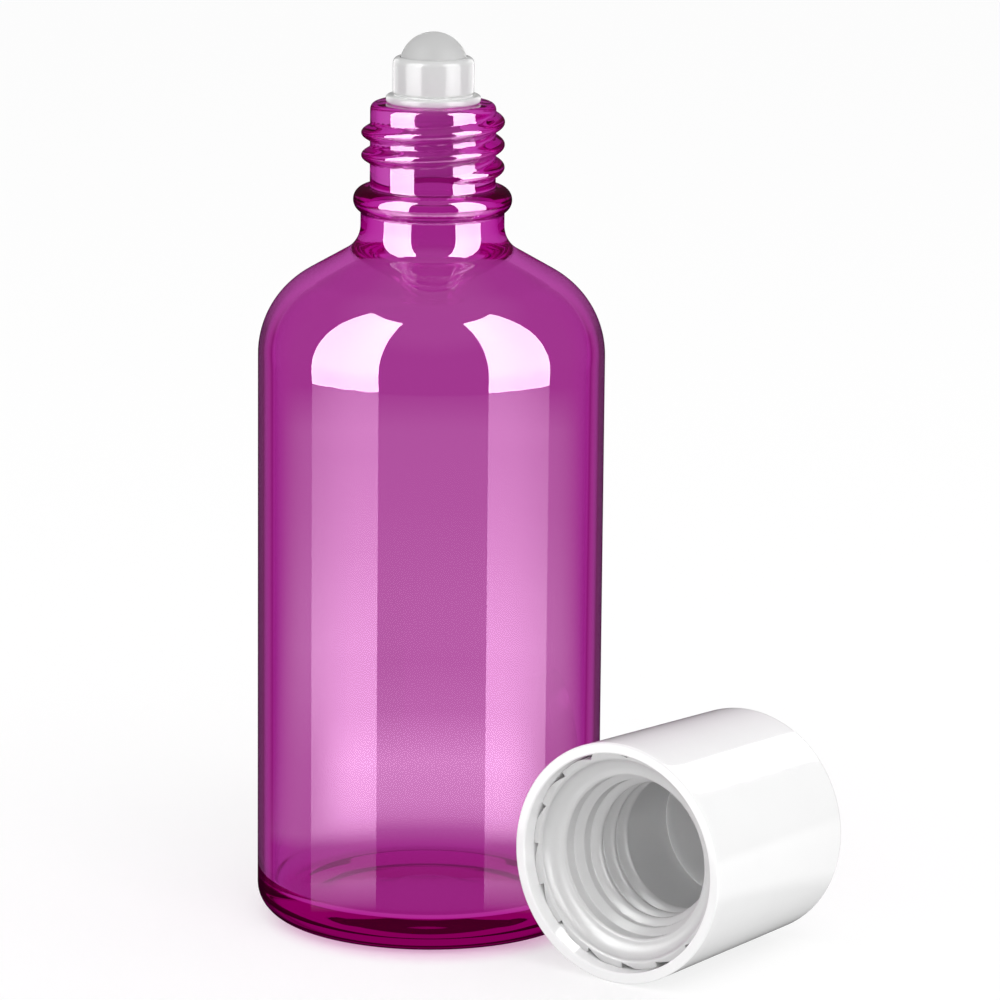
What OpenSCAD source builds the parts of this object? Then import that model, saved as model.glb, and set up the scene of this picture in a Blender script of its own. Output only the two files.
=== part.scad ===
// Roll-on bottle. A round glass bottle with a moulded screw neck carries a ball in a plug-in housing.
// The screw cap is taken off and lies on its side, to the right of the bottle, with its mouth about towards -Y.
// The origin is the centre of the bottle's base and +Z runs up the bottle. All sizes are in millimetres.

/* [Bottle] */
// Diameter of the body
body_d = 46; // [43:0.5:60]
// Height of the glass, from the surface it stands on to the rim
bottle_h = 110; // [95:1:140]
// Wall of the body and shoulder
glass_wall = 2.2; // [1.6:0.1:3]
// Thickness of the glass between the inner floor and the surface it stands on
base_thick = 4.5; // [3.5:0.1:7]
// Radius of the rounded heel
heel_r = 4; // [2.5:0.1:6]
// Radius of the corner between the inner floor and the inner wall
floor_corner_r = 3; // [2:0.1:5]
// Width of the flat ring that the bottle stands on
bearing_w = 1.8; // [1.2:0.1:3]
// Height of the hollow inside the standing ring
punt_h = 1.6; // [0.8:0.1:2.4]
// Radius of the shoulder
shoulder_r = 12.5; // [9:0.5:14]
// Slope of the shoulder's straight stretch, in degrees
shoulder_slope = 30; // [20:1:40]

/* [Neck] */
// Diameter of the neck under the collar
neck_d = 19; // [18:0.1:21]
// Radius between the shoulder and the neck
neck_fillet_r = 4; // [2.5:0.1:6]
// Straight neck between the collar's middle and that radius
neck_straight = 3.4; // [2.5:0.1:8]
// Diameter of the neck's bore
neck_bore_d = 11.2; // [10.4:0.1:12]
// Radius between the inside of the shoulder and the bore
bore_fillet_r = 5; // [3:0.1:7]
// Diameter of the collar
collar_d = 21; // [20:0.1:23]
// Radius of the collar's round edge
collar_r = 1.75; // [1.2:0.05:2.2]
// Distance from the rim down to the collar's middle
collar_drop = 12.9; // [12:0.1:18]
// Diameter of the neck between the turns of the thread
finish_d = 16.6; // [15.6:0.1:17.4]
// Rounding of the rim's edges
rim_r = 0.9; // [0.4:0.1:1.2]

/* [Thread] */
// Pitch of the thread
thread_pitch = 3; // [2.5:0.1:3.2]
// Height of the neck's thread
thread_h = 1.15; // [0.8:0.05:1.3]
// Width of the thread where it leaves the wall
thread_w = 2.3; // [1.6:0.1:2.4]
// Turns of the neck's thread
neck_turns = 2.45; // [1.5:0.05:2.6]
// Distance from the rim down to the middle of the thread's upper end
thread_drop = 1.8; // [1.6:0.1:2.4]
// Direction of the thread's upper end, in degrees from +X
thread_end_angle = 120; // [0:5:355]
// Height of the cap's thread
cap_thread_h = 1; // [0.7:0.05:1.2]
// Turns of the cap's thread
cap_turns = 3; // [2:0.25:3.25]
// Radial space between the neck's thread and the wall of the cap's
thread_gap = 0.4; // [0.25:0.05:0.6]

/* [Ball and housing] */
// Diameter of the ball
ball_d = 9; // [8.4:0.1:9.6]
// Radial space round the ball
ball_gap = 0.05; // [0.03:0.01:0.1]
// Height of the housing's lip above the ball's middle
lip_rise = 1.25; // [0.9:0.05:1.6]
// Wall of the housing beside the ball
cup_wall = 0.8; // [0.6:0.05:1.2]
// Rounding of the lip's outer edge
lip_round = 0.85; // [0.3:0.05:0.9]
// Height of the groove round the foot of the cup
groove_h = 0.4; // [0.2:0.05:0.6]
// Depth of that groove
groove_d = 0.15; // [0.1:0.05:0.3]
// Thickness of the seat under the ball
seat_t = 1.4; // [1:0.1:2]
// Diameter of the hole that wets the ball
throat_d = 4; // [3:0.1:4.6]
// Number of notches that lead the liquid from that hole under the ball
feed_notches = 4; // [3:1:6]
// Width of each notch
feed_w = 0.8; // [0.5:0.05:1]
// Length of each notch, from the hole's edge outwards
feed_l = 1.2; // [0.8:0.1:1.5]
// Depth of each notch at the hole's edge
feed_h = 0.4; // [0.3:0.05:0.7]
// Distance that the flange stands out from the cup
flange_out = 0.9; // [0.5:0.05:1.2]
// Thickness of the flange
flange_t = 1; // [0.8:0.05:1.4]
// Rounding of the flange's edges
flange_round = 0.35; // [0.2:0.05:0.4]
// Straight wall of the cup between the flange and the ball's middle
cup_rise = 3.8; // [3.6:0.1:5]
// Length of the plug inside the neck
plug_l = 9; // [7:0.1:10]
// Wall of the plug
plug_wall = 1.2; // [0.9:0.05:1.5]
// Height of each sealing rib on the plug
rib_h = 0.25; // [0.15:0.01:0.4]
// Radial space between the sealing ribs and the bore
rib_gap = 0.03; // [0.02:0.01:0.08]
// Number of sealing ribs
ribs = 3; // [2:1:4]

/* [Cap] */
// Length of the cap
cap_l = 31; // [30:0.5:36]
// Slope of the cap's side, in degrees
cap_draft = 1.4; // [0.5:0.1:1.8]
// Wall of the outer shell
shell_wall = 1.45; // [1:0.05:1.6]
// Thickness of the shell's closed end
shell_top = 1.6; // [1.2:0.1:2.2]
// Rounding of the closed end's outer edge
cap_edge_r = 0.8; // [0.4:0.1:1.5]
// Rounding of the lip's edges
lip_edge_r = 0.25; // [0.1:0.05:0.4]
// Wall of the inner cap
insert_wall = 1.3; // [1:0.05:1.6]
// Thickness of the inner cap's closed end
insert_top = 1.2; // [0.8:0.1:1.6]
// Depth of the inner cap's rim behind the lip
insert_recess = 2; // [0.6:0.1:2.2]
// Radial space between the collar and the inner cap
collar_gap = 0.3; // [0.2:0.05:0.6]
// Least step in from the wide mouth to the root of the cap's thread
entry_step = 0.3; // [0.2:0.05:0.8]
// Distance that the mouth of the inner cap opens out to its rim
flare_w = 2.4; // [1.5:0.1:3]
// Radius of the corner at the foot of that opening
flare_r = 1.8; // [1:0.1:2.4]
// Radial width of the toothed ring that grips the shell, round the rim
ring_w = 1.25; // [1:0.05:3]
// Number of teeth on that ring
teeth = 16; // [8:1:24]
// Radial depth of the gaps between its teeth
tooth_h = 0.8; // [0.5:0.05:0.9]
// Length of those gaps, from the rim inwards
tooth_l = 2.6; // [1.8:0.1:3.2]
// Space between the inner cap and the shell, at the ring and at the closed end
ring_gap = 0.02; // [0.01:0.01:0.05]
// Width of the foot on the inner cap's closed end, which seats on the shell's
foot_w = 1.5; // [1:0.1:3]
// Space above the collar inside the cap, when it is screwed on
seat_gap = 0.2; // [0.1:0.05:0.5]
// Distance that the cap then reaches below the collar
skirt_l = 2.4; // [1.6:0.1:4]

/* [Place of the cap] */
// Space between the lying cap and the bottle
cap_gap = 0.7; // [0.5:0.1:40]
// Distance that the cap's mouth lies in front of the bottle's middle line, along the cap
cap_forward = 13; // [0:0.5:20]
// Direction of the cap's length, in degrees from +Y towards +X
cap_turn = 5; // [0:0.5:15]

/* [Hidden] */
$fn = 96;
// Points on a quarter circle of an outline
ARC = 8;
// Overrun of every cut
CUT = 1;

// Depth to which a thread's foot is sunk into its wall
THREAD_FOOT = 0.4;
// Flat crest of a thread, and the level and width of its flanks' bend, as shares of its height and width
CREST_W_SHARE = 0.24;
BEND_H_SHARE = 0.72;
BEND_W_SHARE = 0.56;
// Rings of a thread in one turn, and the share of a turn over which its ends fade out
NECK_RINGS = 30;
CAP_RINGS = 24;
FADE_SHARE = 0.16;
END_H_SHARE = 0.08;
// Length of the gap between two teeth, as a share of their pitch
TOOTH_GAP_SHARE = 0.5;

body_r = body_d / 2;
neck_r = neck_d / 2;
bore_r = neck_bore_d / 2;
finish_r = finish_d / 2;
collar_z = bottle_h - collar_drop;
neck_low_z = collar_z - neck_straight;

// The shoulder is an arc that runs into a straight slope, and the slope runs into the neck's fillet.
// Both arcs touch the slope's line, so its distance along the normal gives the height of the shoulder's centre.
slope_n = [sin(shoulder_slope), cos(shoulder_slope)];
neck_fillet_c = [neck_r + neck_fillet_r, neck_low_z];
shoulder_x = body_r - shoulder_r;
shoulder_z = (slope_n * neck_fillet_c - neck_fillet_r - shoulder_r - slope_n[0] * shoulder_x) / slope_n[1];
inner_shoulder_r = shoulder_r - glass_wall;
bore_fillet_x = bore_r + bore_fillet_r;
slope_in = slope_n * [shoulder_x, shoulder_z] + inner_shoulder_r;
bore_fillet_z = (slope_in + bore_fillet_r - slope_n[0] * bore_fillet_x) / slope_n[1];
steep = 90 - shoulder_slope;

bearing_r = body_r - heel_r - bearing_w;
punt_r = (bearing_r * bearing_r + punt_h * punt_h) / (2 * punt_h);
// Middle of the collar's round edge
collar_x = collar_d / 2 - collar_r;
thread_r = finish_r + thread_h;
thread_top_z = bottle_h - thread_drop;

ball_r = ball_d / 2;
socket_r = ball_r + ball_gap;
cup_r = socket_r + cup_wall;
flange_r = cup_r + flange_out;
flange_top_z = bottle_h + flange_t;
ball_z = flange_top_z + cup_rise;
lip_z = ball_z + lip_rise;
seat_low_z = ball_z - socket_r - seat_t;
throat_r = throat_d / 2;
// Level at which the socket meets the hole's edge
throat_z = ball_z - sqrt(socket_r * socket_r - throat_r * throat_r);
plug_r = bore_r - rib_gap;
plug_core_r = plug_r - rib_h;
channel_r = plug_core_r - plug_wall;
plug_low_z = bottle_h - plug_l;
rib_pitch = plug_l / (ribs + 1);

draft_run = tan(cap_draft);
root_r = thread_r + thread_gap;
crest_r = root_r - cap_thread_h;
entry_r = max(collar_d / 2 + collar_gap, root_r + entry_step);
// The cap is as wide as what it holds: the collar, the inner cap, its ring and the shell
wide_r = entry_r + flare_w;
cap_r = wide_r + ring_w + shell_wall;
// Screwed on, the flare ends at the collar's middle, and the step to the thread's root just above the collar
cap_on_z = collar_z - collar_r - skirt_l;
flare_depth = collar_z - cap_on_z;
entry_depth = flare_depth + collar_r + seat_gap;
ring_end = flare_depth + insert_wall;
step_l = entry_r - root_r;
// The inner cap's closed end rests on the ball when the cap is screwed on
roof_depth = ball_z + ball_r - cap_on_z;
cap_thread_low = entry_depth + step_l + thread_w / 2;
shell_end_depth = max(cap_l - shell_top, roof_depth + insert_top + 2 * ring_gap);
cap_end = shell_end_depth + shell_top;

// Points of an arc round c, from angle a to angle b
function arc(c, r, a, b) =
    let (n = max(2, ceil(ARC * abs(b - a) / 90)))
    [for (i = [0:n]) let (t = a + (b - a) * i / n) c + r * [cos(t), sin(t)]];

// Outer radius of the shell and inner radius of its wall, at a depth from the mouth
function shell_r(depth) = cap_r - depth * draft_run;
function shell_in_r(depth) = shell_r(depth) - shell_wall;

// Distance from the bottle's middle line to the cap's, which lies past the bottle's side at this depth
cap_x = body_r + cap_gap + shell_r(min(cap_forward, cap_end));

// One section of a thread: the radius and height of its corners, for a ridge of height h that leans out of wall_r.
// side is 1 for a thread outside a shaft and -1 for one inside a bore.
function ridge(wall_r, h, w, side) = [
    [wall_r - side * THREAD_FOOT, -w / 2],
    [wall_r + side * h * BEND_H_SHARE, -w * BEND_W_SHARE / 2],
    [wall_r + side * h, -w * CREST_W_SHARE / 2],
    [wall_r + side * h, w * CREST_W_SHARE / 2],
    [wall_r + side * h * BEND_H_SHARE, w * BEND_W_SHARE / 2],
    [wall_r - side * THREAD_FOOT, w / 2]
];

// Right-handed thread that climbs from z = 0 at angle start. Its height fades at both ends.
module thread(wall_r, h, w, side, turns, start, rings) {
    n = ceil(turns * rings);
    fade = FADE_SHARE * rings;
    corners = len(ridge(wall_r, h, w, side));
    sections = [for (i = [0:n])
        let (
            grow = max(END_H_SHARE, min(1, i / fade, (n - i) / fade)),
            a = start + turns * 360 * i / n,
            z = turns * thread_pitch * i / n
        )
        for (p = ridge(wall_r, h * grow, w * (1 + grow) / 2, side)) [p[0] * cos(a), p[0] * sin(a), z + p[1]]];
    low_cap = [for (k = [0:corners - 1]) k];
    high_cap = [for (k = [corners - 1:-1:0]) n * corners + k];
    sides = [for (i = [0:n - 1], k = [0:corners - 1])
        let (a = i * corners + k, b = i * corners + (k + 1) % corners)
        each [[a, a + corners, b + corners], [a, b + corners, b]]];
    faces = concat([low_cap, high_cap], sides);
    turned = [for (f = faces) [for (k = [len(f) - 1:-1:0]) f[k]]];
    polyhedron(sections, side > 0 ? turned : faces, convexity = 10);
}

module glass_outline() {
    polygon(concat(
        [[0, 0], [body_r - heel_r, 0]],
        arc([body_r - heel_r, heel_r], heel_r, -90, 0),
        arc([shoulder_x, shoulder_z], shoulder_r, 0, steep),
        arc(neck_fillet_c, neck_fillet_r, 180 + steep, 180),
        [[neck_r, collar_z], [finish_r, collar_z]],
        arc([finish_r - rim_r, bottle_h - rim_r], rim_r, 0, 90),
        [[0, bottle_h]]
    ));
}

module cavity_outline() {
    polygon(concat(
        [[0, base_thick]],
        arc([body_r - glass_wall - floor_corner_r, base_thick + floor_corner_r], floor_corner_r, -90, 0),
        arc([shoulder_x, shoulder_z], inner_shoulder_r, 0, steep),
        arc([bore_fillet_x, bore_fillet_z], bore_fillet_r, 180 + steep, 180),
        [[bore_r, bottle_h + CUT], [0, bottle_h + CUT]]
    ));
}

module glass_bottle() {
    color("mediumvioletred", 0.6) {
        difference() {
            union() {
                rotate_extrude() glass_outline();
                rotate_extrude() translate([collar_x, collar_z]) circle(collar_r);
                translate([0, 0, thread_top_z - neck_turns * thread_pitch])
                    thread(finish_r, thread_h, thread_w, 1, neck_turns,
                        thread_end_angle - neck_turns * 360, NECK_RINGS);
            }
            rotate_extrude() cavity_outline();
            translate([0, 0, punt_h - punt_r]) sphere(punt_r);
        }
    }
}

// Housing: a cup that snaps round the ball, a flange that rests on the rim, and a ribbed plug inside the neck
module housing_outline() {
    polygon(concat(
        [[0, plug_low_z], [plug_core_r - rib_h, plug_low_z], [plug_core_r, plug_low_z + rib_h]],
        [for (i = [1:ribs], p = [[0, -2 * rib_h], [rib_h, -rib_h / 2], [rib_h, rib_h / 2], [0, 2 * rib_h]])
            [plug_core_r + p[0], plug_low_z + i * rib_pitch + p[1]]],
        [[plug_core_r, bottle_h - flange_t / 2], [plug_r, bottle_h - flange_t / 2 + rib_h], [plug_r, bottle_h]],
        arc([flange_r - flange_round, bottle_h + flange_round], flange_round, -90, 0),
        arc([flange_r - flange_round, flange_top_z - flange_round], flange_round, 0, 90),
        [[cup_r - groove_d, flange_top_z], [cup_r - groove_d, flange_top_z + groove_h - groove_d]],
        [[cup_r, flange_top_z + groove_h]],
        arc([cup_r - lip_round, lip_z - lip_round], lip_round, 0, 90),
        [[0, lip_z]]
    ));
}

module ball_housing() {
    color("white") {
        difference() {
            rotate_extrude() housing_outline();
            translate([0, 0, ball_z]) sphere(socket_r);
            translate([0, 0, seat_low_z - CUT]) cylinder(h = ball_z - seat_low_z, r = throat_r);
            for (i = [0:feed_notches - 1])
                rotate(i * 360 / feed_notches)
                    translate([0, -feed_w / 2, throat_z - feed_h])
                        cube([throat_r + feed_l, feed_w, ball_z - throat_z]);
            translate([0, 0, plug_low_z - CUT]) cylinder(h = seat_low_z - plug_low_z + CUT, r = channel_r);
        }
    }
}

module roller_ball() {
    color("gainsboro") translate([0, 0, ball_z]) sphere(ball_r);
}

// The cap is drawn standing on its mouth and then laid on its side
module lay_cap() {
    rotate(-cap_turn)
        translate([cap_x, -cap_forward, 0])
            rotate([-90 - cap_draft, 0, 0])
                translate([0, -cap_r, 0])
                    children();
}

module cap_shell() {
    color("white") lay_cap() rotate_extrude() polygon(concat(
        arc([shell_r(0) - lip_edge_r, lip_edge_r], lip_edge_r, -90, 0),
        arc([shell_r(cap_end) - cap_edge_r, cap_end - cap_edge_r], cap_edge_r, 0, 90),
        [[0, cap_end], [0, shell_end_depth], [shell_in_r(shell_end_depth), shell_end_depth]],
        arc([shell_in_r(0) + lip_edge_r, lip_edge_r], lip_edge_r, 180, 270)
    ));
}

module insert_outline() {
    mouth_r = entry_r + insert_wall;
    wall_r = root_r + insert_wall;
    end = roof_depth + insert_top;
    foot_end = shell_end_depth - ring_gap;
    round_r = min(flare_r, flare_w, flare_depth - insert_recess - lip_edge_r);
    polygon(concat(
        [[wide_r + lip_edge_r, insert_recess]],
        [[shell_in_r(insert_recess) - ring_gap, insert_recess]],
        [[shell_in_r(ring_end) - ring_gap, ring_end], [mouth_r, ring_end]],
        [[mouth_r, entry_depth], [wall_r, entry_depth + mouth_r - wall_r]],
        [[wall_r, end], [crest_r, end], [crest_r, foot_end]],
        [[crest_r - foot_w, foot_end], [crest_r - foot_w, end], [0, end]],
        [[0, roof_depth], [root_r, roof_depth], [root_r, entry_depth + step_l], [entry_r, entry_depth]],
        [[entry_r, flare_depth + lip_edge_r], [entry_r + lip_edge_r, flare_depth]],
        arc([wide_r - round_r, flare_depth - round_r], round_r, 90, 0),
        [[wide_r, insert_recess + lip_edge_r]]
    ));
}

// Gaps between the teeth: each drops straight in at one end and runs out to the ring's edge at the other
module tooth_gaps() {
    ring_r = shell_in_r(insert_recess);
    pitch = 360 / teeth;
    run = pitch * TOOTH_GAP_SHARE;
    for (i = [0:teeth - 1])
        rotate(i * pitch)
            translate([0, 0, insert_recess - CUT])
                linear_extrude(tooth_l + CUT)
                    polygon([
                        [ring_r - tooth_h, 0],
                        [ring_r * cos(run), -ring_r * sin(run)],
                        [(ring_r + CUT) * cos(run), -(ring_r + CUT) * sin(run)],
                        [ring_r + CUT, 0]
                    ]);
}

module cap_insert() {
    color("whitesmoke") lay_cap() {
        difference() {
            union() {
                rotate_extrude() insert_outline();
                translate([0, 0, cap_thread_low])
                    thread(root_r, cap_thread_h, thread_w, -1, cap_turns, 0, CAP_RINGS);
            }
            tooth_gaps();
        }
    }
}

glass_bottle();
ball_housing();
roller_ball();
cap_shell();
cap_insert();
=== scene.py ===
"""Roll-on bottle: a round magenta glass bottle, a ball in a plug-in housing, and the screw cap beside it."""

import math

import bpy
import numpy as np
from mathutils import Matrix, Vector


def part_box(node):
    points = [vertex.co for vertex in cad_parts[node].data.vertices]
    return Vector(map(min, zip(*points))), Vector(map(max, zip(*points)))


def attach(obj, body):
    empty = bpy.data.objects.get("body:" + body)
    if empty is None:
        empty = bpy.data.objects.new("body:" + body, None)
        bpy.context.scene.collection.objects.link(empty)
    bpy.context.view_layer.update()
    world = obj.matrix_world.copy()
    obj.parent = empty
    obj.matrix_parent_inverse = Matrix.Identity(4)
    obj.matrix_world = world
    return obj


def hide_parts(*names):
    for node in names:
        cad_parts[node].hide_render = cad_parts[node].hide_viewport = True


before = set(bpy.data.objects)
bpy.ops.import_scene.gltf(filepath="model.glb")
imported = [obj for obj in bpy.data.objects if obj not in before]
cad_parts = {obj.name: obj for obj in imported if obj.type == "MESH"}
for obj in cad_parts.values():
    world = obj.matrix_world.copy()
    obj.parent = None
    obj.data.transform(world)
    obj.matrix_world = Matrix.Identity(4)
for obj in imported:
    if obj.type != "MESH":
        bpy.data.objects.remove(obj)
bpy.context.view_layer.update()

# Sizes, in millimetres until MM turns them into metres. The frame gives the ones that it can.
MM = 0.001
glass_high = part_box("glass_bottle")[1] / MM
housing_low, housing_high = (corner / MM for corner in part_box("ball_housing"))
ball_low, ball_high = (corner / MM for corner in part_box("roller_ball"))
shell_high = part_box("cap_shell")[1] / MM

# Bottle
body_r = glass_high.x
bottle_h = glass_high.z
glass_wall = 2.2
base_thick = 4.5
heel_r = 4.0
floor_corner_r = 1.6
bearing_w = 1.8
punt_h = 1.6
shoulder_r = 12.5
shoulder_slope = math.radians(30)
neck_r = 9.5
neck_fillet_r = 4.0
neck_straight = 3.4
bore_r = 5.6
bore_fillet_r = 5.0
collar_x = 8.75
collar_r = 1.75
collar_drop = 12.9
collar_z = bottle_h - collar_drop
collar_low_z = collar_z - collar_r
finish_r = 8.3
rim_r = 0.9
rim_in_r = 0.3

# Threads. At each end one grows from nothing over thread_fade, a share of a turn, and widens there from
# thread_end_w, a share of its width. thread_round holds the two powers that round its section.
thread_pitch = 3.0
thread_w = 2.3
thread_h = 1.15
thread_fade = 0.14
thread_end_w = 0.45
thread_round = (2.2, 1.2)
neck_turns = 2.45
thread_drop = 1.8
thread_top_z = bottle_h - thread_drop
thread_end_angle = math.radians(120)
cap_thread_h = 1.0
cap_turns = 3.0

# Ball and housing
ball_r = (ball_high.x - ball_low.x) / 2
ball_z = (ball_high.z + ball_low.z) / 2
ball_play = 0.05
socket_r = ball_r + ball_play
cup_wall = 0.8
cup_r = socket_r + cup_wall
lip_z = housing_high.z
lip_round = 0.85
flange_r = housing_high.x
flange_thick = 1.0
flange_top_z = bottle_h + flange_thick
flange_round = 0.35
groove_h = 0.4
groove_d = 0.15
seat_thick = 1.4
seat_low_z = ball_z - socket_r - seat_thick
throat_r = 2.0
feed_notches = 4
feed_w = 0.8
feed_l = 1.2
feed_h = 0.4
plug_low_z = housing_low.z
plug_core_r = 5.32
plug_r = 5.57
plug_wall = 1.2
plug_land_h = 0.25
channel_r = plug_core_r - plug_wall
rib_h = 0.25
ribs = 3

# Cap, in its own frame: it stands on its mouth, and depths run from the mouth up to the closed end
cap_draft = math.radians(1.4)
cap_r = shell_high.z / 2 / math.cos(cap_draft)
cap_gap = 0.7
cap_forward = 13.0
cap_turn = math.radians(5)
shell_wall = 1.45
shell_end_wall = 1.6
cap_end = 31.0
shell_end_depth = cap_end - shell_end_wall
cap_edge_r = 0.8
lip_edge_r = 0.25
entry_r = 10.8
root_r = 9.85
skirt_l = 2.4
flare_w = 2.4
flare_r = 1.8
flare_depth = skirt_l + collar_r
entry_play = 0.2
entry_depth = flare_depth + collar_r + entry_play
insert_wall = 1.3
insert_recess = 2.0
ring_end = flare_depth + insert_wall
roof_depth = ball_high.z - collar_z + flare_depth
roof_wall = 1.2
insert_end = roof_depth + roof_wall
foot_inset = 1.0
foot_wall = 1.5
foot_outer_r = root_r - foot_inset
foot_inner_r = foot_outer_r - foot_wall
ring_gap = 0.02
teeth = 16
tooth_h = 0.8
tooth_l = 2.6
cap_thread_low = entry_depth + entry_r - root_r + thread_w / 2

# Fineness of the meshes: columns round the axis, the steps of arcs, and the longest step and largest error
# along an outline. An edge stays sharp from SHARP on. TOOTH_END is how far round a saw tooth's steep end reaches.
AROUND = 192
ARC_STEP = math.radians(3)
SAMPLE = 0.03
LONGEST = 2.5
TOLERANCE = 0.002
THREAD_STEP = 0.13
SHARP = math.radians(40)
TOOTH_END = math.radians(0.1)
# How widely moulding rounds the corners off
GLASS_BLUR = 0.18
PLASTIC_BLUR = 0.06

# The angle that points up in an outline
UP = math.pi / 2


# Outlines and the surfaces turned from them

def arc(cx, cz, r, a, b):
    """Points of an arc round (cx, cz), from angle a to angle b in radians."""
    n = max(2, math.ceil(abs(b - a) / ARC_STEP))
    turns = [a + (b - a) * i / n for i in range(n + 1)]
    return [(cx + r * math.cos(t), cz + r * math.sin(t)) for t in turns]


def thinned(points):
    """The points that keep the line within TOLERANCE and no step over LONGEST."""
    kept = {0, len(points) - 1}
    spans = [(0, len(points) - 1)]
    while spans:
        a, b = spans.pop()
        if b - a < 2:
            continue
        chord = points[b] - points[a]
        length = max(np.hypot(*chord), 1e-9)
        off = points[a + 1 : b] - points[a]
        error = np.abs(off[:, 0] * chord[1] - off[:, 1] * chord[0]) / length
        if length < SAMPLE:
            error = np.hypot(off[:, 0], off[:, 1])
        k = a + 1 + int(error.argmax())
        if error.max() <= TOLERANCE:
            if length <= LONGEST:
                continue
            k = (a + b) // 2
        kept.add(k)
        spans += [(a, k), (k, b)]
    return points[sorted(kept)]


def softened(outline, blur, closed=False):
    """The outline with its corners rounded off over about blur, as moulding leaves them."""
    points = np.array(outline + outline[:1] if closed else outline, float)
    along = np.concatenate([[0], np.cumsum(np.hypot(*np.diff(points, axis=0).T))])
    where = np.linspace(0, along[-1], round(along[-1] / SAMPLE) + 1)
    fine = np.column_stack([np.interp(where, along, points[:, k]) for k in (0, 1)])
    reach = round(3 * blur / SAMPLE)
    weights = np.exp(-0.5 * (np.arange(-reach, reach + 1) * SAMPLE / blur) ** 2)
    weights /= weights.sum()
    if closed:
        padded = np.pad(fine[:-1], ((reach, reach + 1), (0, 0)), mode="wrap")
    else:
        padded = np.pad(fine, ((reach, reach), (0, 0)), mode="reflect", reflect_type="odd")
    smooth = np.column_stack([np.convolve(padded[:, k], weights, "valid") for k in (0, 1)])
    line = thinned(smooth)
    return line[:-1] if closed else line


def with_steps(line, low, high, side):
    """The line with short steps where a thread lies: between two heights, on the outer (1) or inner (-1) side."""
    made = [line[0]]
    for a, b in zip(line[:-1], line[1:]):
        upright = (b[1] - a[1]) * side > 0
        inside = min(a[1], b[1]) < high and max(a[1], b[1]) > low
        n = math.ceil(abs(b[1] - a[1]) / THREAD_STEP) if upright and inside else 1
        made += [a + (b - a) * i / n for i in range(1, max(n, 1) + 1)]
    return np.array(made)


def ridge(angle, z, height, turns, start, low):
    """Height of a right-handed thread's round ridge above its wall. It climbs from low at angle start."""
    best = np.zeros(np.broadcast(angle, z).shape)
    first = (angle - start) / (2 * math.pi) % 1
    for k in range(math.ceil(turns) + 1):
        t = first + k
        fade = np.clip(np.minimum(t, turns - t) / thread_fade, 0, 1)
        grow = fade * fade * (3 - 2 * fade)
        half = thread_w / 2 * (thread_end_w + (1 - thread_end_w) * grow)
        s = np.clip(np.abs(z - low - t * thread_pitch) / half, 0, 1)
        best = np.maximum(best, height * grow * (1 - s ** thread_round[0]) ** thread_round[1])
    return best


def lathe(name, line, closed=False, shape=None, angles=None):
    """A closed surface turned round Z.

    line runs anticlockwise round the solid, in (radius, height), and ends on the axis unless it is closed.
    shape(r, z, angle) gives new radii and heights.
    """
    angle = np.linspace(0, 2 * math.pi, AROUND, endpoint=False) if angles is None else np.array(angles)
    cols = len(angle)
    r = np.repeat(line[:, :1], cols, axis=1)
    z = np.repeat(line[:, 1:], cols, axis=1)
    if shape:
        r, z = shape(r, z, angle[None, :])
    rings = np.stack([r * np.cos(angle), r * np.sin(angle), z], axis=-1)
    if not closed:
        low_pole, high_pole = rings[0, 0], rings[-1, 0]
        rings = rings[1:-1]
    count = len(rings)
    verts = rings.reshape(-1, 3)
    i = np.arange(count if closed else count - 1)[:, None]
    j = np.arange(cols)[None, :]
    nxt_i, nxt_j = (i + 1) % count, (j + 1) % cols
    corners = (i * cols + j, i * cols + nxt_j, nxt_i * cols + nxt_j, nxt_i * cols + j)
    faces = np.stack(np.broadcast_arrays(*corners), axis=-1).reshape(-1, 4).tolist()
    if not closed:
        verts = np.vstack([verts, [low_pole, high_pole]])
        last = (count - 1) * cols
        faces += [(count * cols, (k + 1) % cols, k) for k in range(cols)]
        faces += [(count * cols + 1, last + k, last + (k + 1) % cols) for k in range(cols)]
    mesh = bpy.data.meshes.new(name)
    mesh.from_pydata((verts * MM).tolist(), [], faces)
    mesh.shade_smooth()
    mesh.set_sharp_from_angle(angle=SHARP)
    mesh.update()
    piece = bpy.data.objects.new(name, mesh)
    bpy.context.scene.collection.objects.link(piece)
    return piece


def dress(piece, body, node, material):
    """Gives the piece its body and its material, and hides the CAD node that it stands for."""
    piece.data.materials.append(material)
    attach(piece, body)
    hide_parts(node)
    return piece


# Bottle

# The shoulder is a cone between two fillets: its normal, and how far out the cone lies along that
neck_fillet_c = (neck_r + neck_fillet_r, collar_z - neck_straight)
slope_n = (math.sin(shoulder_slope), math.cos(shoulder_slope))
slope_d = slope_n[0] * neck_fillet_c[0] + slope_n[1] * neck_fillet_c[1] - neck_fillet_r
shoulder_x = body_r - shoulder_r
shoulder_z = (slope_d - shoulder_r - slope_n[0] * shoulder_x) / slope_n[1]
bore_fillet_x = bore_r + bore_fillet_r
bore_fillet_z = (slope_d - glass_wall + bore_fillet_r - slope_n[0] * bore_fillet_x) / slope_n[1]
steep = UP - shoulder_slope


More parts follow.
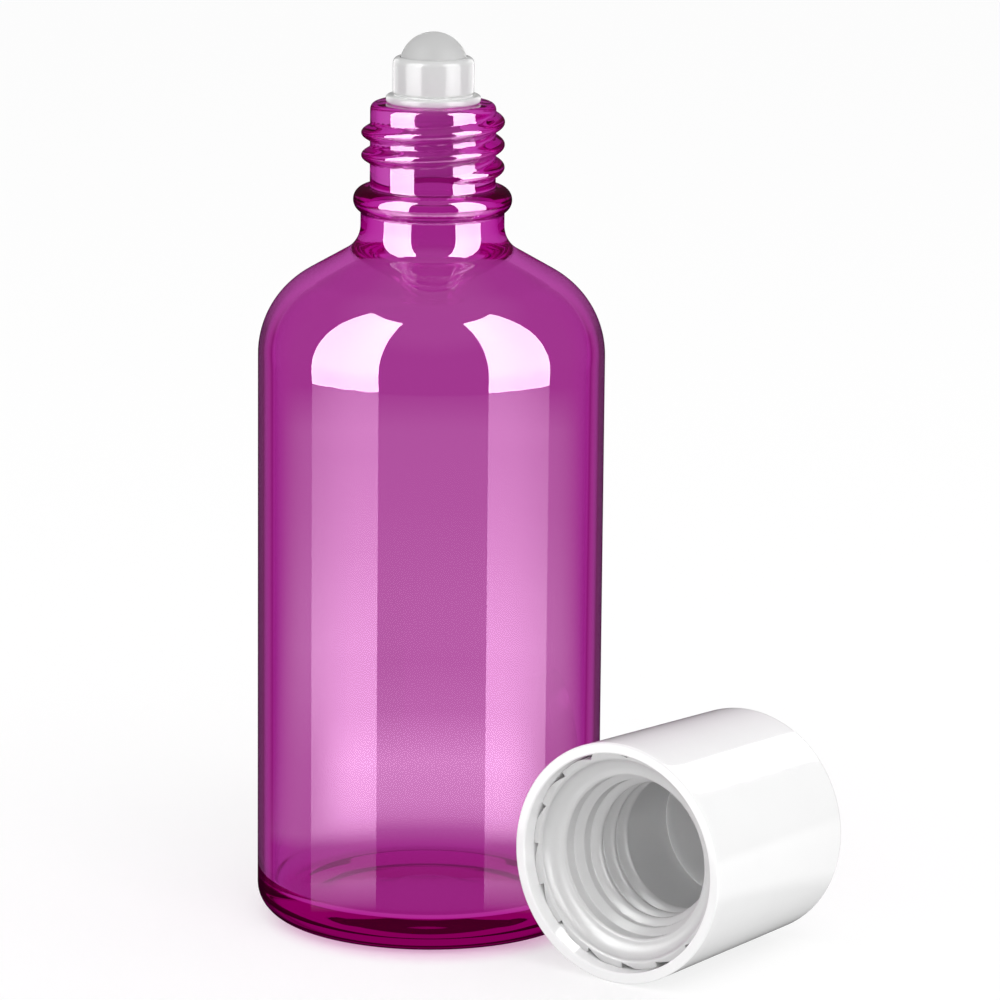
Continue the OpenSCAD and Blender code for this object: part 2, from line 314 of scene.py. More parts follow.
def glass_line():
    """From the middle of the base up the outside, over the rim and down the inside."""
    bearing_r = body_r - heel_r - bearing_w
    punt_r = (bearing_r**2 + punt_h**2) / (2 * punt_h)
    punt_edge = math.asin(bearing_r / punt_r)
    collar_foot = -math.acos((neck_r - collar_x) / collar_r)
    collar_top = math.acos((finish_r - collar_x) / collar_r)
    inner_wall = body_r - glass_wall
    line = arc(0, punt_h - punt_r, punt_r, UP, UP - punt_edge)
    line += arc(body_r - heel_r, heel_r, heel_r, -UP, 0)
    line += arc(shoulder_x, shoulder_z, shoulder_r, 0, steep)
    line += arc(*neck_fillet_c, neck_fillet_r, math.pi + steep, math.pi)
    line += arc(collar_x, collar_z, collar_r, collar_foot, collar_top)
    line += arc(finish_r - rim_r, bottle_h - rim_r, rim_r, 0, UP)
    line += arc(bore_r + rim_in_r, bottle_h - rim_in_r, rim_in_r, UP, math.pi)
    line += arc(bore_fillet_x, bore_fillet_z, bore_fillet_r, math.pi, math.pi + steep)
    line += arc(shoulder_x, shoulder_z, shoulder_r - glass_wall, steep, 0)
    line += arc(inner_wall - floor_corner_r, base_thick + floor_corner_r, floor_corner_r, 0, -UP)
    return line + [(0, base_thick)]


def glass_shape(r, z, angle):
    """Lays the thread on the outside of the neck, above the collar."""
    low = thread_top_z - neck_turns * thread_pitch
    start = thread_end_angle - neck_turns * 2 * math.pi
    high = ridge(angle, z, thread_h, neck_turns, start, low)
    wall = np.clip((r - bore_r - rim_in_r) / (finish_r - rim_r - bore_r - rim_in_r), 0, 1)
    on_neck = (z > collar_z + collar_r / 2) & (r > bore_r + rim_in_r)
    return r + high * wall * on_neck, z


def make_glass(material):
    """Its attribute "outside" says where the glass's painted edge shade shows: on the outside, and how much of it
    at each height.
    """
    line = with_steps(softened(glass_line(), GLASS_BLUR), collar_z + collar_r, bottle_h, 1)
    piece = lathe("clear_bottle", line, shape=glass_shape)
    up_to_rim = np.arange(len(line)) <= line[:, 1].argmax()
    outer = np.interp(line[:, 1], *zip(*GLASS_PAINTED_EDGE_SHADE_HEIGHTS)) * up_to_rim
    marks = piece.data.attributes.new("outside", "FLOAT", "POINT")
    marks.data.foreach_set("value", [*np.repeat(outer[1:-1], AROUND), outer[0], outer[-1]])
    return dress(piece, "bottle", "glass_bottle", material)


# Ball and housing

def housing_line():
    """From the plug's foot up the outside, over the flange and the lip, and down through the socket."""
    rib_pitch = (bottle_h - plug_low_z) / (ribs + 1)
    line = [(channel_r, plug_low_z), (plug_core_r - rib_h, plug_low_z), (plug_core_r, plug_low_z + rib_h)]
    for i in range(1, ribs + 1):
        z = plug_low_z + i * rib_pitch
        line += [(plug_core_r, z - 2 * rib_h), (plug_r, z - rib_h / 2)]
        line += [(plug_r, z + rib_h / 2), (plug_core_r, z + 2 * rib_h)]
    line += [(plug_core_r, bottle_h - 2 * plug_land_h), (plug_r, bottle_h - plug_land_h), (plug_r, bottle_h)]
    line += arc(flange_r - flange_round, bottle_h + flange_round, flange_round, -UP, 0)
    line += arc(flange_r - flange_round, flange_top_z - flange_round, flange_round, 0, UP)
    line += [(cup_r - groove_d, flange_top_z), (cup_r - groove_d, flange_top_z + groove_h - groove_d)]
    line += [(cup_r, flange_top_z + groove_h)]
    line += arc(cup_r - lip_round, lip_z - lip_round, lip_round, 0, UP)
    lip_angle = math.asin((lip_z - ball_z) / socket_r)
    line += arc(0, ball_z, socket_r, lip_angle, -math.acos(throat_r / socket_r))
    return line + [(throat_r, seat_low_z), (channel_r, seat_low_z)]


def housing_shape(r, z, angle):
    """Cuts the feed notches into the seat, from the hole's edge outwards."""
    pitch = 2 * math.pi / feed_notches
    aside = np.abs((angle + pitch / 2) % pitch - pitch / 2) * r
    throat_z = ball_z - math.sqrt(socket_r**2 - throat_r**2)
    notch = (aside < feed_w / 2) & (r < throat_r + feed_l) & (z > throat_z - feed_h) & (z < ball_z)
    return r, np.where(notch, throat_z - feed_h, z)


def make_housing(material):
    line = softened(housing_line(), PLASTIC_BLUR, closed=True)
    piece = lathe("roller_housing", line, closed=True, shape=housing_shape)
    return dress(piece, "fitment", "ball_housing", material)


def dress_ball(material):
    """The ball keeps the solid's mesh, and gets the material all over."""
    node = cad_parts["roller_ball"]
    node.data.materials.clear()
    node.data.materials.append(material)
    for face in node.data.polygons:
        face.material_index = 0
    return node


# Cap

def shell_r(depth):
    return cap_r - depth * math.tan(cap_draft)


cap_x = body_r + cap_gap + shell_r(cap_forward)
lay_cap = (
    Matrix.Rotation(-cap_turn, 4, "Z")
    @ Matrix.Translation(Vector((cap_x, -cap_forward, 0)) * MM)
    @ Matrix.Rotation(-math.pi / 2 - cap_draft, 4, "X")
    @ Matrix.Translation(Vector((0, -cap_r, 0)) * MM)
)


def shell_line():
    """Down the inside from the closed end, round the lip and up the outside."""
    line = [(0, shell_end_depth), (shell_r(shell_end_depth) - shell_wall, shell_end_depth)]
    line += arc(shell_r(0) - shell_wall + lip_edge_r, lip_edge_r, lip_edge_r, math.pi, 3 * UP)
    line += arc(shell_r(0) - lip_edge_r, lip_edge_r, lip_edge_r, -UP, 0)
    line += arc(shell_r(cap_end) - cap_edge_r, cap_end - cap_edge_r, cap_edge_r, 0, UP)
    return line + [(0, cap_end)]


def insert_line():
    """Down the threaded wall from the roof, round the ring by the mouth, up the outside and over the foot."""
    wide_r = entry_r + flare_w
    mouth_r = entry_r + insert_wall
    wall_r = root_r + insert_wall
    return [
        (0, roof_depth),
        (root_r, roof_depth),
        (root_r, entry_depth + entry_r - root_r),
        (entry_r, entry_depth),
        (entry_r, flare_depth + lip_edge_r),
        (entry_r + lip_edge_r, flare_depth),
        *arc(wide_r - flare_r, flare_depth - flare_r, flare_r, UP, 0),
        (wide_r, insert_recess + lip_edge_r),
        (wide_r + lip_edge_r, insert_recess),
        (shell_r(insert_recess) - shell_wall - ring_gap, insert_recess),
        (shell_r(ring_end) - shell_wall - ring_gap, ring_end),
        (mouth_r, ring_end),
        (mouth_r, entry_depth),
        (wall_r, entry_depth + mouth_r - wall_r),
        (wall_r, insert_end),
        (foot_outer_r, insert_end),
        (foot_outer_r, shell_end_depth - ring_gap),
        (foot_inner_r, shell_end_depth - ring_gap),
        (foot_inner_r, insert_end),
        (0, insert_end),
    ]


def insert_shape(r, z, angle):
    """Lays the thread inside the cap, and cuts the gaps between the ring's teeth."""
    high = ridge(angle, z, cap_thread_h, cap_turns, 0, cap_thread_low)
    on_wall = (np.abs(r - root_r) < PLASTIC_BLUR) & (z > entry_depth) & (z < roof_depth - PLASTIC_BLUR)
    r = r - high * on_wall
    pitch = 2 * math.pi / teeth
    run = (-angle) % pitch / (pitch / 2)
    limit = shell_r(0) - shell_wall - ring_gap - tooth_h * np.clip(1 - run, 0, 1)
    on_ring = (z < insert_recess + tooth_l) & (r > limit) & (r > entry_r + flare_w)
    return np.where(on_ring, np.minimum(r, limit), r), z


def insert_angles():
    """Even columns, and one close behind each tooth's steep end."""
    even = [2 * math.pi * i / AROUND for i in range(AROUND)]
    steep_ends = [2 * math.pi * i / teeth + TOOTH_END for i in range(teeth)]
    return sorted(even + steep_ends)


def make_cap(shell_material, insert_material):
    """Neither piece shows in reflections, because the photo's bottle doesn't mirror the cap."""
    shell = lathe("outer_cap", softened(shell_line(), PLASTIC_BLUR))
    line = with_steps(softened(insert_line(), PLASTIC_BLUR), entry_depth, roof_depth, -1)
    insert = lathe("threaded_cap", line, shape=insert_shape, angles=insert_angles())
    for piece in (shell, insert):
        piece.data.transform(lay_cap)
        piece.visible_glossy = False
    dress(shell, "cap", "cap_shell", shell_material)
    dress(insert, "cap", "cap_insert", insert_material)
    return shell, insert


# Nodes

# The middle range of a noise's values
NOISE_MIDDLE = (0.3, 0.7)


def grey(shade):
    return (shade, shade, shade, 1)


def set_or_link(links, socket, value):
    """Feeds a socket with a number or with another node's output."""
    if isinstance(value, bpy.types.NodeSocket):
        links.new(value, socket)
    else:
        socket.default_value = value


def new_material(name):
    made = bpy.data.materials.new(name)
    made.use_nodes = True
    return made, made.node_tree.nodes, made.node_tree.links, made.node_tree.nodes["Principled BSDF"]


def noise(nodes, links, scale, detail=2.0):
    place = nodes.new("ShaderNodeTexCoord")
    made = nodes.new("ShaderNodeTexNoise")
    made.inputs["Scale"].default_value = scale
    made.inputs["Detail"].default_value = detail
    links.new(place.outputs["Object"], made.inputs["Vector"])
    return made.outputs["Fac"]


def map_range(nodes, links, value, source, target, kind="LINEAR"):
    """A value that goes from target[0] to target[1] as another goes from source[0] to source[1]."""
    made = nodes.new("ShaderNodeMapRange")
    made.interpolation_type = kind
    made.inputs["From Min"].default_value, made.inputs["From Max"].default_value = source
    made.inputs["To Min"].default_value, made.inputs["To Max"].default_value = target
    links.new(value, made.inputs["Value"])
    return made.outputs["Result"]


def bump(nodes, links, shader, source, height):
    made = nodes.new("ShaderNodeBump")
    made.inputs["Strength"].default_value = 1.0
    made.inputs["Distance"].default_value = height * MM
    links.new(source, made.inputs["Height"])
    links.new(made.outputs["Normal"], shader.inputs["Normal"])


def ramp(nodes, links, value, shares):
    """A brightness or colour that follows value along straight lines between the points of shares."""
    made = nodes.new("ShaderNodeValToRGB")
    points = made.color_ramp.elements
    while len(points) < len(shares):
        points.new(1)
    for point, (place, colour) in zip(points, shares):
        point.position = place
        point.color = (*np.broadcast_to(colour, 3), 1)
    links.new(value, made.inputs["Fac"])
    return made.outputs["Color"]


def math_of(nodes, links, operation, a, b):
    made = nodes.new("ShaderNodeMath")
    made.operation = operation
    links.new(a, made.inputs[0])
    set_or_link(links, made.inputs[1], b)
    return made.outputs[0]


def vector_math(nodes, links, operation, a, b, output):
    made = nodes.new("ShaderNodeVectorMath")
    made.operation = operation
    links.new(a, made.inputs[0])
    made.inputs[1].default_value = b
    return made.outputs[output]


def graded(nodes, links, place, along, source, target):
    """A value that eases between the two of target as place, taken along a direction, goes through source."""
    reach = vector_math(nodes, links, "DOT_PRODUCT", place, along, "Value")
    return map_range(nodes, links, reach, source, target, "SMOOTHSTEP")


def level_way(nodes, links, place):
    """The level direction from the bottle's middle line to a place."""
    way = nodes.new("ShaderNodeVectorMath")
    way.operation = "NORMALIZE"
    links.new(vector_math(nodes, links, "MULTIPLY", place, (1, 1, 0), "Vector"), way.inputs[0])
    return way.outputs["Vector"]


def ray_kinds(nodes, *kinds):
    """For each kind, such as Is Camera Ray, the output that is 1 for a ray of it."""
    path = nodes.new("ShaderNodeLightPath")
    return [path.outputs[kind] for kind in kinds]


def pick(nodes, links, chooser, when_not, when):
    """One of two shaders."""
    made = nodes.new("ShaderNodeMixShader")
    links.new(chooser, made.inputs[0])
    links.new(when_not, made.inputs[1])
    links.new(when, made.inputs[2])
    return made.outputs[0]


def add(nodes, links, a, b):
    """Two shaders together."""
    made = nodes.new("ShaderNodeAddShader")
    links.new(a, made.inputs[0])
    links.new(b, made.inputs[1])
    return made.outputs[0]


def glow(nodes, links, kind, strength):
    """White light, whose strength is a number or another node's output."""
    made = nodes.new(kind)
    made.inputs["Color"].default_value = grey(1)
    set_or_link(links, made.inputs["Strength"], strength)
    return made.outputs[0]


def matte(nodes, shade):
    made = nodes.new("ShaderNodeBsdfDiffuse")
    made.inputs["Color"].default_value = grey(shade)
    return made.outputs[0]


# Materials

GLASS_IOR = 1.52
# What a wall of the glass takes from red, green and blue light, for each millimetre of its thickness, and the
# part of it that grows with the path: the rest is taken at the faces, so that thick glass stays clear
GLASS_TAKES = (0.25, 0.73, 0.3)
GLASS_DEEP_TAKES = (0.022, 0.21, 0.04)
# The density that goes with that part: its colour is worked out to fit
GLASS_DENSITY = 700.0
# The colour of its reflections, and a faint painted glow that the glass gives off itself, which lifts its darkest
# parts
GLASS_GLOSS = (1.0, 0.6, 0.95)
GLASS_PAINTED_GLOW = (0.015, 0.0, 0.007)
# The slow ripple of its faces: waves per metre, detail, and height in millimetres
GLASS_RIPPLE = (45.0, 1.0, 0.006)
# Painted shade and tint at the glass's edges: what its colour keeps of red, green and blue where the outside is
# seen aslant, by the slant: 0 is square on and 1 edge on. Light turns back at the inner wall from about 0.6 on.
GLASS_PAINTED_EDGE_SHADE = (
    (0.38, (1, 1, 1)),
    (0.46, (1, 0.86, 1)),
    (0.52, (0.95, 0.68, 0.96)),
    (0.565, (0.8, 0.35, 0.78)),
    (0.61, (0.5, 0.06, 0.4)),
    (0.655, (0.72, 0.42, 0.66)),
    (0.7, (0.66, 0.6, 0.66)),
    (0.75, (0.34, 0.4, 0.31)),
    (0.85, (0.37, 0.8, 0.42)),
)
# How much of that painted edge shade shows at each height: less along the neck
GLASS_PAINTED_EDGE_SHADE_HEIGHTS = (
    (collar_low_z - 15, 1),
    (collar_low_z - 8, 0.3),
    (collar_low_z - 0.5, 0.3),
    (collar_low_z, 1),
    (collar_z + 1, 1),
    (collar_z + collar_r, 0.5),
)

PLASTIC_IOR = 1.49
# Waves per metre of a plastic's clouds of shade, of its dull spots and of its grain
CLOUDS = 120.0
DULL_SPOTS = 260.0
GRAIN = 900.0
GRAIN_DETAIL = 3.0
# How dark its clouds are, as a share of its shade
CLOUD_SHADE = 0.97
# Each plastic's shade of grey, its lowest and highest roughness, its grain's height and its specular level
PLASTICS = {
    "housing_plastic": (0.64, (0.12, 0.2), 0.004, 0.1),
    "cap_plastic": (0.93, (0.06, 0.1), 0.003, 0.2),
    "insert_plastic": (0.63, (0.28, 0.38), 0.004, 0.12),
    "ball_plastic": (0.5, (0.5, 0.65), 0.004, 0.05),
}


def glass_material():
    made, nodes, links, shader = new_material("magenta_glass")
    tint = [math.exp((deep - takes) * glass_wall) for takes, deep in zip(GLASS_TAKES, GLASS_DEEP_TAKES)]
    mix = nodes.new("ShaderNodeMix")
    mix.data_type = "RGBA"
    mix.inputs["A"].default_value = (*tint, 1)
    outside = nodes.new("ShaderNodeAttribute")
    outside.attribute_name = "outside"
    links.new(outside.outputs["Fac"], mix.inputs["Factor"])
    # Painted shade at the edges: the colour darkens and tints by the slant at which the outside is seen
    aslant = nodes.new("ShaderNodeLayerWeight")
    shares = [(place, [t * kept**2 for t, kept in zip(tint, colour)]) for place, colour in GLASS_PAINTED_EDGE_SHADE]
    links.new(ramp(nodes, links, aslant.outputs["Facing"], shares), mix.inputs["B"])
    links.new(mix.outputs["Result"], shader.inputs["Base Color"])
    shader.inputs["Transmission Weight"].default_value = 1.0
    shader.inputs["Roughness"].default_value = 0.0
    shader.inputs["IOR"].default_value = GLASS_IOR
    shader.inputs["Specular Tint"].default_value = (*GLASS_GLOSS, 1)
    # Painted glow: the glass gives off this faint light itself, though it is no lamp
    shader.inputs["Emission Color"].default_value = (*GLASS_PAINTED_GLOW, 1)
    shader.inputs["Emission Strength"].default_value = 1.0
    scale, detail, height = GLASS_RIPPLE
    bump(nodes, links, shader, noise(nodes, links, scale, detail), height)
    volume = nodes.new("ShaderNodeVolumeAbsorption")
    kept = [1 - deep / MM / GLASS_DENSITY for deep in GLASS_DEEP_TAKES]
    volume.inputs["Color"].default_value = (*kept, 1)
    volume.inputs["Density"].default_value = GLASS_DENSITY
    links.new(volume.outputs["Volume"], nodes["Material Output"].inputs["Volume"])
    return made


def plastic_material(name):
    """Moulded plastic, from its row in PLASTICS."""
    shade, rough, grain_h, gloss = PLASTICS[name]
    made, nodes, links, shader = new_material(name)
    mix = nodes.new("ShaderNodeMix")
    mix.data_type = "RGBA"
    links.new(noise(nodes, links, CLOUDS), mix.inputs["Factor"])
    mix.inputs["A"].default_value = grey(shade)
    mix.inputs["B"].default_value = grey(shade * CLOUD_SHADE)
    links.new(mix.outputs["Result"], shader.inputs["Base Color"])
    dull = map_range(nodes, links, noise(nodes, links, DULL_SPOTS), NOISE_MIDDLE, rough)
    links.new(dull, shader.inputs["Roughness"])
    bump(nodes, links, shader, noise(nodes, links, GRAIN, GRAIN_DETAIL), grain_h)
    shader.inputs["IOR"].default_value = PLASTIC_IOR
    shader.inputs["Specular IOR Level"].default_value = gloss
    return made


# Camera

CAMERA_AZIMUTH = math.radians(31.2)
CAMERA_DISTANCE = 0.75
CAMERA_HEIGHT = 0.2205
CAMERA_PITCH = math.radians(12.327)
CAMERA_YAW = math.radians(0.7072)
CAMERA_ROLL = math.radians(0.55)
CAMERA_LENS = 207.36
CAMERA_CLIP = 0.01


def level_towards(azimuth):
    """The level direction at an azimuth counted from the camera, to the right."""
    turn = CAMERA_AZIMUTH + azimuth
    return Vector((math.sin(turn), -math.cos(turn), 0))


FRONT = level_towards(0)


def make_camera():
    ahead = -FRONT * math.cos(CAMERA_PITCH) - Vector((0, 0, math.sin(CAMERA_PITCH)))
    ahead = Matrix.Rotation(-CAMERA_YAW, 3, "Z") @ ahead
    right = ahead.cross(Vector((0, 0, 1))).normalized()
    up = right.cross(ahead)
    across = right * math.cos(CAMERA_ROLL) + up * math.sin(CAMERA_ROLL)
    upward = up * math.cos(CAMERA_ROLL) - right * math.sin(CAMERA_ROLL)
    turn = Matrix((across, upward, -ahead)).transposed().to_4x4()
    spot = FRONT * CAMERA_DISTANCE + Vector((0, 0, CAMERA_HEIGHT))
    data = bpy.data.cameras.new("camera")
    data.lens = CAMERA_LENS
    data.clip_start = CAMERA_CLIP
    camera = bpy.data.objects.new("camera", data)
    camera.matrix_world = Matrix.Translation(spot) @ turn
    bpy.context.scene.collection.objects.link(camera)
    bpy.context.scene.camera = camera


# World

WHITE = 1.0
# How bright the dark studio round the object is in a pure reflection: at its darkest, and high above the
# camera, which it nears by the cosine of the way from there
STUDIO_DARK = 0.02
STUDIO_FRONT = 0.6
STUDIO_FRONT_SLOPE = 3.7
STUDIO_FRONT_SPAN = (0.6, 0.95)
# The even light on the object, straight from above and from the side
FILL_ABOVE = 0.88
FILL_SIDE = 1.02


def make_world():
    """White behind the object and through the glass, a dark studio in its gloss, and an even fill on it."""
    world = bpy.data.worlds.new("studio")
    bpy.context.scene.world = world
    world.use_nodes = True
    nodes, links = world.node_tree.nodes, world.node_tree.links
    nodes.clear()
    camera, through, gloss = ray_kinds(nodes, "Is Camera Ray", "Is Transmission Ray", "Is Glossy Ray")
    seen = math_of(nodes, links, "MAXIMUM", camera, through)
    way = nodes.new("ShaderNodeTexCoord").outputs["Generated"]
    even = graded(nodes, links, way, (0, 0, 1), (0, 1), (FILL_SIDE, FILL_ABOVE))
    front_up = (FRONT + Vector((0, 0, STUDIO_FRONT_SLOPE))).normalized()
    dark = graded(nodes, links, way, front_up, STUDIO_FRONT_SPAN, (STUDIO_DARK, STUDIO_FRONT))
    fill, studio, white = (glow(nodes, links, "ShaderNodeBackground", level) for level in (even, dark, WHITE))
    whole = pick(nodes, links, seen, pick(nodes, links, gloss, fill, studio), white)
    links.new(whole, nodes.new("ShaderNodeOutputWorld").inputs["Surface"])


# Floor

FLOOR_SIZE = 4.0
# The floor as the camera sees it: its own light, and the matte share that takes the shadows
FLOOR_GLOW = 0.55
FLOOR_SHADE = 0.45
# Its light as it shows through the glass, where it has no shadows
FLOOR_GLOW_THROUGH = 1.0
# The floor as it lights the object
FLOOR_LIGHT = 0.55
FLOOR_LIGHT_SHADE = 0.4
# The distance, from a point before the bottle's middle line, at which a share of 1 lies
FLOOR_REACH = 0.4
# A painted pink shadow, as light that has come through the bottle would leave, colours the floor under it and a
# thin line before it: what shows beside the glass, what shows through it, and how far before the middle line the
# painted shadow's middle is
FLOOR_PAINTED_SHADOW = (
    (0.041, (0.95, 0.6, 0.82)),
    (0.0475, (0.97, 0.76, 0.89)),
    (0.051, (0.98, 0.9, 0.95)),
    (0.055, (1, 1, 1)),
)
FLOOR_PAINTED_SHADOW_THROUGH = (
    (0.052, (0.85, 0.42, 0.73)),
    (0.06, (0.95, 0.95, 0.95)),
    (0.08, (1, 1, 1)),
)
FLOOR_PAINTED_SHADOW_MIDDLE = 0.005
# In the object's reflections the floor mirrors the softboxes and has a wide glow and a near one, each by the
# distance from a point this far before the middle line
FLOOR_MIDDLE = 0.015
FLOOR_MIRROR = 0.3
FLOOR_WIDE_GLOW = 2.8
FLOOR_NEAR_GLOW = 5.6
FLOOR_MIRROR_SHARES = (
    (0.075, 0),
    (0.09, 0.18),
    (0.11, 0.38),
    (0.13, 0.16),
    (0.158, 0.14),
    (0.178, 0.62),
    (0.25, 0.7),
    (0.36, 0.9),
    (0.45, 0.97),
    (0.53, 0.88),
    (0.62, 0.76),
    (0.72, 0.68),
    (0.83, 0.58),
    (0.95, 0.65),
)
FLOOR_WIDE_SHARES = (
    (0.152, 0),
    (0.172, 0.42),
    (0.27, 0.55),
    (0.37, 0.85),
    (0.45, 1),
    (0.53, 0.95),
    (0.71, 0.7),
    (0.88, 0.63),
    (0.99, 0),
)
FLOOR_NEAR_SHARES = (
    (0.174, 0),
    (0.195, 0.62),
    (0.215, 0.85),
    (0.27, 1),
    (0.345, 0.25),
    (0.425, 0),
)
# Behind the object the three are dark, and each eases in by the cosine of the way from the camera's
FLOOR_MIRROR_FRONT = (-0.6, 0.75)
FLOOR_WIDE_FRONT = (-0.5, 0.25)
FLOOR_NEAR_FRONT = (0.2, 0.75)


def away_share(nodes, links, place, before):
    """How far a place is from a point before the bottle's middle line, as a share of FLOOR_REACH."""
    off = vector_math(nodes, links, "DISTANCE", place, FRONT * before, "Value")
    return math_of(nodes, links, "MULTIPLY", off, 1 / FLOOR_REACH)


def floor_material():
    made, nodes, links, shader = new_material("pale_floor")
    nodes.remove(shader)
    camera, through, gloss = ray_kinds(nodes, "Is Camera Ray", "Is Transmission Ray", "Is Glossy Ray")
    place = nodes.new("ShaderNodeTexCoord").outputs["Object"]
    way = level_way(nodes, links, place)
    # How far a place lies from the middle of the painted pink shadow round the bottle's foot
    painted_shadow_share = away_share(nodes, links, place, FLOOR_PAINTED_SHADOW_MIDDLE)
    share = away_share(nodes, links, place, FLOOR_MIDDLE)

    def emission(strength):
        return glow(nodes, links, "ShaderNodeEmission", strength)

    def in_front(shares, front, level):
        """A brightness by the distance before the bottle, up to a level, and dark behind it."""
        lit = graded(nodes, links, way, FRONT, front, (0, level))
        return math_of(nodes, links, "MULTIPLY", ramp(nodes, links, share, shares), lit)

    beside = emission(FLOOR_GLOW)
    # The painted pink shadow tints the floor's glow, beside the glass and through it
    links.new(ramp(nodes, links, painted_shadow_share, FLOOR_PAINTED_SHADOW), beside.node.inputs["Color"])
    seen = add(nodes, links, matte(nodes, FLOOR_SHADE), beside)
    within = emission(FLOOR_GLOW_THROUGH)
    links.new(ramp(nodes, links, painted_shadow_share, FLOOR_PAINTED_SHADOW_THROUGH), within.node.inputs["Color"])

    mirror = nodes.new("ShaderNodeBsdfGlossy")
    mirror.inputs["Roughness"].default_value = 0.0
    links.new(in_front(FLOOR_MIRROR_SHARES, FLOOR_MIRROR_FRONT, FLOOR_MIRROR), mirror.inputs["Color"])
    wide = emission(in_front(FLOOR_WIDE_SHARES, FLOOR_WIDE_FRONT, FLOOR_WIDE_GLOW))
    near = emission(in_front(FLOOR_NEAR_SHARES, FLOOR_NEAR_FRONT, FLOOR_NEAR_GLOW))
    glossy = add(nodes, links, add(nodes, links, mirror.outputs[0], wide), near)

    light = add(nodes, links, matte(nodes, FLOOR_LIGHT_SHADE), emission(FLOOR_LIGHT))
    # A ray through glass counts as glossy too, so it's sorted out before the glossy rays are
    not_seen = pick(nodes, links, through, pick(nodes, links, gloss, light, glossy), within)
    whole = pick(nodes, links, camera, not_seen, seen)
    links.new(whole, nodes["Material Output"].inputs["Surface"])
    return made


def make_floor():
    half = FLOOR_SIZE / 2
    corners = [(-half, -half, 0), (half, -half, 0), (half, half, 0), (-half, half, 0)]
    mesh = bpy.data.meshes.new("floor")
    mesh.from_pydata(corners, [], [(0, 1, 2, 3)])
    mesh.materials.append(floor_material())
    plane = bpy.data.objects.new("floor", mesh)
    bpy.context.scene.collection.objects.link(plane)
    return plane


# Lamps

# The softboxes: two upright walls of flat panels on a circle round the bottle, each over a span of azimuths
# in degrees, which are counted from the camera to the right. SOFTBOX is their radiance.
SOFTBOX_SPANS = {"softbox_left": (-83.5, -34.0), "softbox_right": (37.0, 82.5)}
SOFTBOX_PANELS = 3
SOFTBOX_AWAY = 0.41
SOFTBOX_H = 0.9
SOFTBOX = 29.0
# How bright a softbox is at its foot, and between which heights that changes. How bright it is at the side
# away from the camera and at the side towards it, by the cosine of the way from the camera's.
SOFTBOX_FOOT_SHARE = 0.85
SOFTBOX_FOOT = (0.03, 0.1)
SOFTBOX_SIDES = (0.8, 1.1)
SOFTBOX_SIDE_SPAN = (0.1, 0.8)
# The other lamps, with azimuths in the same degrees. All but the key are seen in gloss alone, and the key
# lights what is matte alone.
STRIP = dict(azimuth=133, distance=0.47, height=0.37, size=(0.2, 0.3), radiance=13.0, aim=(0.04, 0, 0.02))
RIM = dict(distance=0.5, height=0.12, size=(0.4, 0.5), radiance=3.0, aim=(0, 0, 0.11))
RIM_AZIMUTHS = {"rim_0": -138, "rim_2": 138}
KEY = dict(azimuth=25, distance=0.6, height=0.8, size=(0.5, 0.5), radiance=2.0, aim=(0, 0, 0.03), gloss=False)


def make_lamp(name, azimuth, distance, height, size, radiance, aim, gloss=True):
    """A flat lamp that faces the point aim."""
    spot = level_towards(math.radians(azimuth)) * distance + Vector((0, 0, height))
    lamp = bpy.data.lights.new(name, "AREA")
    lamp.shape = "RECTANGLE"
    lamp.size, lamp.size_y = size
    lamp.energy = radiance * math.pi * size[0] * size[1]
    made = bpy.data.objects.new(name, lamp)
    made.location = spot
    made.rotation_euler = (Vector(aim) - spot).to_track_quat("-Z", "Y").to_euler()
    made.visible_camera = False
    made.visible_transmission = False
    made.visible_volume_scatter = False
    made.visible_diffuse = not gloss
    made.visible_glossy = gloss
    bpy.context.scene.collection.objects.link(made)
    return made


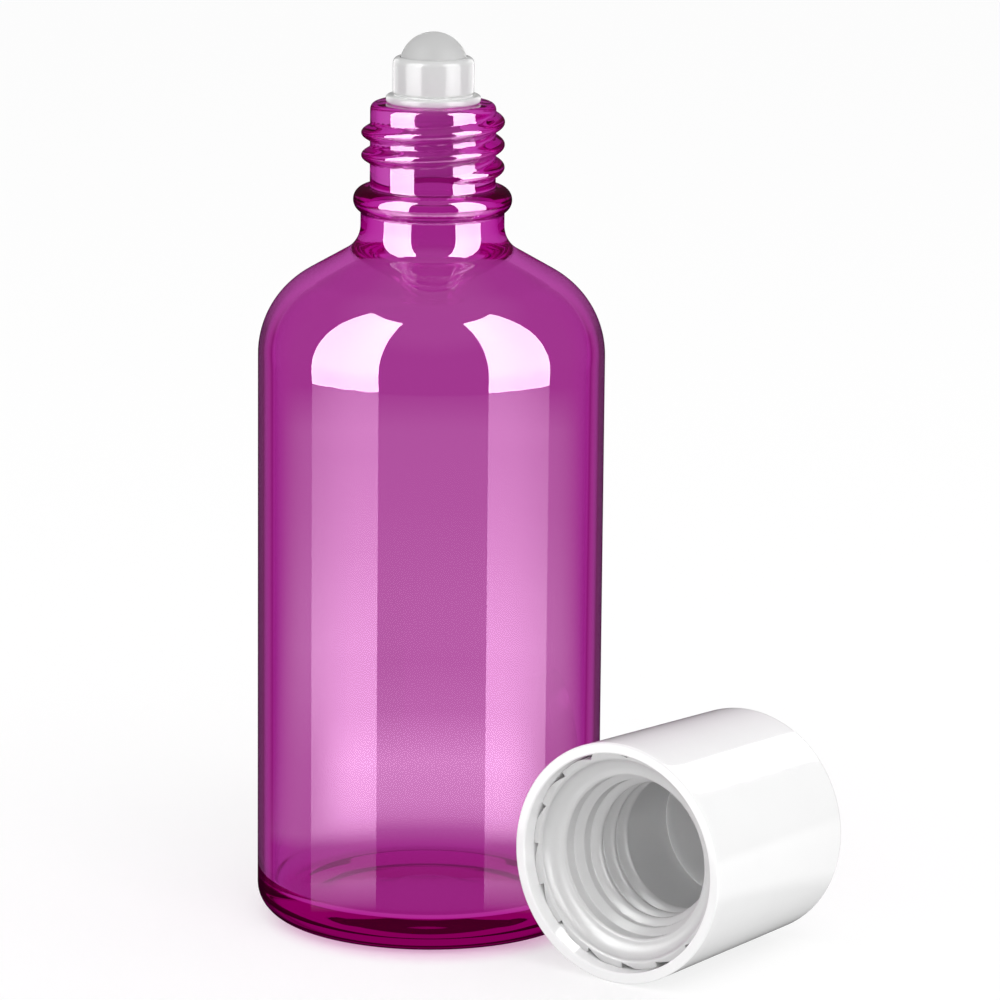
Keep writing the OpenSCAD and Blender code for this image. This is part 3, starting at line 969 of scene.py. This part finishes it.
def shade_softbox(lamp):
    """Dims the foot of a softbox, as the edge of its cloth does, and its side away from the camera."""
    lamp.use_nodes = True
    nodes, links = lamp.node_tree.nodes, lamp.node_tree.links
    place = nodes.new("ShaderNodeNewGeometry").outputs["Position"]
    foot = graded(nodes, links, place, (0, 0, 1), SOFTBOX_FOOT, (SOFTBOX_FOOT_SHARE, 1))
    side = graded(nodes, links, level_way(nodes, links, place), FRONT, SOFTBOX_SIDE_SPAN, SOFTBOX_SIDES)
    links.new(math_of(nodes, links, "MULTIPLY", foot, side), nodes["Emission"].inputs["Strength"])


def light_only(lamp, pieces):
    """Lets a lamp shine on these pieces alone, as a flag between it and the others does."""
    lit = bpy.data.collections.new(f"lit_by_{lamp.name}")
    for piece in pieces:
        lit.objects.link(piece)
    lamp.light_linking.receiver_collection = lit


def make_softbox(name, low, high, lit):
    half = (high - low) / SOFTBOX_PANELS / 2
    size = (2 * SOFTBOX_AWAY * math.tan(math.radians(half)), SOFTBOX_H)
    middle_h = SOFTBOX_H / 2
    for i in range(SOFTBOX_PANELS):
        azimuth = low + half * (2 * i + 1)
        lamp = make_lamp(f"{name}_{i}", azimuth, SOFTBOX_AWAY, middle_h, size, SOFTBOX, (0, 0, middle_h))
        shade_softbox(lamp.data)
        light_only(lamp, lit)


def make_lamps(by_softboxes, by_rims, by_strip):
    """The key lights all there is, and each of the others the pieces in its list."""
    for name, span in SOFTBOX_SPANS.items():
        make_softbox(name, *span, by_softboxes)
    light_only(make_lamp("strip", **STRIP), by_strip)
    for name, azimuth in RIM_AZIMUTHS.items():
        light_only(make_lamp(name, azimuth, **RIM), by_rims)
    make_lamp("key", **KEY)


# The scene

make_camera()
make_world()
floor = make_floor()
glass = make_glass(glass_material())
housing = make_housing(plastic_material("housing_plastic"))
shell, insert = make_cap(plastic_material("cap_plastic"), plastic_material("insert_plastic"))
ball = dress_ball(plastic_material("ball_plastic"))
make_lamps([floor, glass, housing, ball, insert], [housing], [shell])

# Light turns back inside the thick glass many times, and isn't cut short at random before it has
cycles = bpy.context.scene.cycles
cycles.max_bounces = cycles.transmission_bounces = 16
cycles.glossy_bounces = 12
cycles.min_light_bounces = 8
bpy.context.scene.view_settings.view_transform = "Standard"
